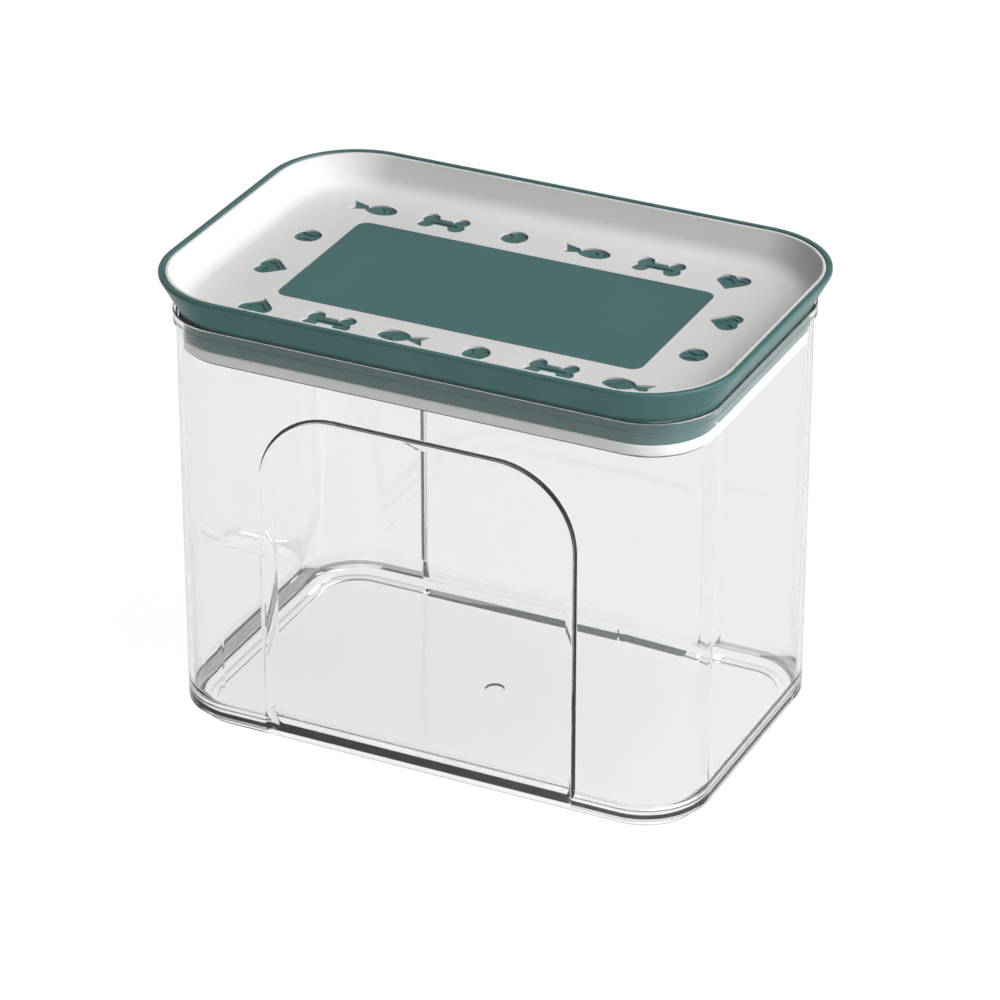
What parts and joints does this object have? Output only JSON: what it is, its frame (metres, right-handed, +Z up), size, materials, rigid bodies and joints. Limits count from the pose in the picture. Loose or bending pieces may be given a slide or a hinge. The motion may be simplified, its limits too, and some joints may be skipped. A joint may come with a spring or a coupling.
{
  "type": "pet treat container",
  "caption": "Clear rectangular keeper with a press-in lid: flared rim, dished top with raised panel and pet motifs, plug skirt and seal.",
  "frame": {"origin": "centre of the footprint, on the surface that the foot stands on", "axes": "+Z up out of the mouth, +X along the long side, +Y along the short side; the front and back are alike"},
  "size_m": [0.215, 0.1414, 0.172],
  "materials": {
    "clear_plastic": "injection-moulded clear styrene plastic, polished",
    "green_plastic": "satin moulded polypropylene, dark grey green",
    "white_plastic": "satin moulded polypropylene, white",
    "seal_silicone": "moulded pale translucent silicone"
  },
  "bodies": {
    "tub": {"tub": "clear_plastic"},
    "lid": {"lid_frame": "green_plastic", "lid_tray": "white_plastic", "lid_seal": "seal_silicone"}
  },
  "joints": [
    {"name": "lid_lift", "type": "slide", "parent": "tub", "child": "lid", "axis": [0, 0, 1], "range_m": [0, 0.06]}
  ]
}
